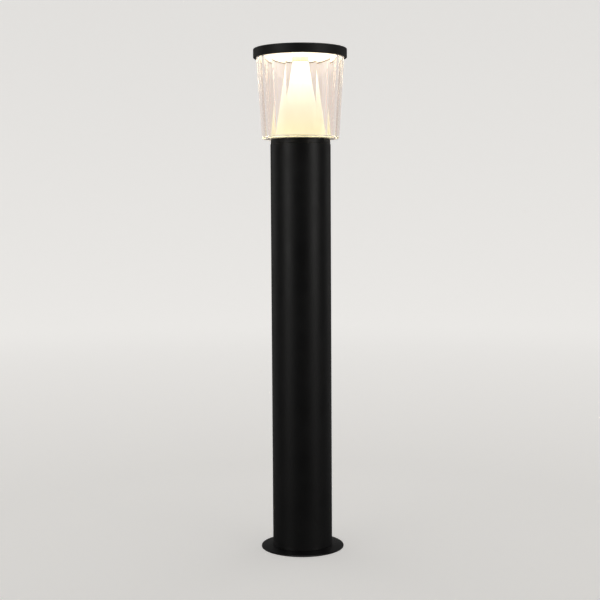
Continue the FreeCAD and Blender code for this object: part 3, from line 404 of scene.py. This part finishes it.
def studio_cove():
    """A round floor that curves up into a wall on every side: one smooth sheet of pale paper."""
    flat = FLAT_RADII[-1]
    profile = [(radius, 0.0) for radius in FLAT_RADII]
    for i in range(1, BEND_STEPS + 1):
        angle = math.radians(90 * i / BEND_STEPS)
        profile.append((flat + BEND_RADIUS * math.sin(angle),
                        BEND_RADIUS - BEND_RADIUS * math.cos(angle)))
    profile.append((flat + BEND_RADIUS, WALL_TOP))

    verts = [(0.0, 0.0, 0.0)]
    for radius, z in profile[1:]:
        for k in range(COVE_TURNS):
            angle = 2 * math.pi * k / COVE_TURNS
            verts.append((radius * math.cos(angle), radius * math.sin(angle), z))
    faces = [(0, 1 + k, 1 + (k + 1) % COVE_TURNS) for k in range(COVE_TURNS)]
    for i in range(len(profile) - 2):
        inner = 1 + i * COVE_TURNS
        outer = inner + COVE_TURNS
        for k in range(COVE_TURNS):
            n = (k + 1) % COVE_TURNS
            faces.append((inner + k, outer + k, outer + n, inner + n))

    mesh = bpy.data.meshes.new("studio_floor")
    mesh.from_pydata(verts, [], faces)
    for polygon in mesh.polygons:
        polygon.use_smooth = True
    cove = bpy.data.objects.new("studio_floor", mesh)
    cove.location.z = -FLOOR_DROP
    scene.collection.objects.link(cove)
    mesh.materials.append(studio_paper())
    return cove


# ------------------------------------------------------------------ lights
SIDE_Z = 0.95
SIDE_WIDTH = 0.9
SIDE_AIM = (0, 0, 0.3)
# name, x, y, height of the panel, power, colour
SIDE_LIGHTS = (
    ("key_left", -1.75, -1.45, 1.8, 9.0, (1.0, 0.985, 0.96)),
    ("fill_right", 1.75, -1.35, 1.8, 9.0, (1.0, 0.98, 0.955)),
    ("rim_left", -1.9, 1.3, 1.7, 1.8, (1.0, 0.985, 0.96)),
    ("rim_right", 1.9, 1.3, 1.7, 1.4, (1.0, 0.98, 0.955)),
)


def area_light(name, at, aim, size, power, colour, height=None):
    """A square panel, or a rectangle where a height is given, hidden from camera and lens."""
    light = bpy.data.lights.new(name, "AREA")
    light.shape = "RECTANGLE" if height else "SQUARE"
    light.size = size
    if height:
        light.size_y = height
    light.energy = power
    light.color = colour
    panel = bpy.data.objects.new(name, light)
    panel.location = at
    panel.rotation_mode = "QUATERNION"
    panel.rotation_quaternion = (Vector(aim) - Vector(at)).to_track_quat("-Z", "Y")
    panel.visible_camera = False
    panel.visible_transmission = False
    scene.collection.objects.link(panel)
    return panel


def add_lights(paper):
    # the side lights shape the lamp only; the paper is lit from above
    off_paper = bpy.data.collections.new("off_paper")
    off_paper.objects.link(paper)
    off_paper.collection_objects[0].light_linking.link_state = "EXCLUDE"
    for name, x, y, height, power, colour in SIDE_LIGHTS:
        side = area_light(name, (x, y, SIDE_Z), SIDE_AIM, SIDE_WIDTH, power, colour, height)
        side.light_linking.receiver_collection = off_paper
    area_light("top_soft", at=(0, 0.2, 3.0), aim=(0, 0, 0), size=2.6, power=42.0,
               colour=(1.0, 0.99, 0.98))

    # shows the flange's underside when it is looked at from below: it lights only the pieces
    # there, and the paper doesn't block it
    under = area_light("under_soft", at=(0, 0, -1.2), aim=(0, 0, 0), size=3.4, power=45.0,
                       colour=(1.0, 0.985, 0.96))
    foot_pieces = bpy.data.collections.new("foot_pieces")
    for name in ("base_flange", "cable_grommet"):
        foot_pieces.objects.link(pieces[name])
    under.light_linking.receiver_collection = foot_pieces
    under.light_linking.blocker_collection = off_paper


def add_world():
    world = bpy.data.worlds.new("studio")
    world.use_nodes = True
    feed(world.node_tree.nodes["Background"], {
        "Color": (1.0, 0.985, 0.965, 1),
        "Strength": 0.08,
    })
    scene.world = world


# ------------------------------------------------------------------ camera
CAMERA_AT = (-0.001745, -1.503635, 0.434867)
CAMERA_PITCH = 0.0760546  # radians below level
CAMERA_ROLL = -0.00565658  # radians
SENSOR_WIDTH = 36.0  # mm
FOCAL_LENGTH = 70.578  # mm


def add_camera():
    lens = bpy.data.cameras.new("camera")
    lens.sensor_width = SENSOR_WIDTH
    lens.lens = FOCAL_LENGTH
    lens.clip_start = 0.05
    lens.clip_end = 50.0
    camera = bpy.data.objects.new("camera", lens)
    scene.collection.objects.link(camera)
    forward = Vector((0, math.cos(CAMERA_PITCH), -math.sin(CAMERA_PITCH)))
    level = Vector((1, 0, 0))
    upright = level.cross(forward)
    cos_roll, sin_roll = math.cos(CAMERA_ROLL), math.sin(CAMERA_ROLL)
    right = cos_roll * level + sin_roll * upright
    up = -sin_roll * level + cos_roll * upright
    turn = Matrix((right, up, -forward)).transposed()
    camera.matrix_world = Matrix.Translation(CAMERA_AT) @ turn.to_4x4()
    scene.camera = camera


add_lights(studio_cove())
add_world()
add_camera()

scene.view_settings.view_transform = "Standard"
scene.view_settings.look = "None"
# many bounces, for light that crosses the flutes again and again
scene.cycles.max_bounces = 32
scene.cycles.transmission_bounces = 32
scene.cycles.diffuse_bounces = 6
scene.cycles.glossy_bounces = 20
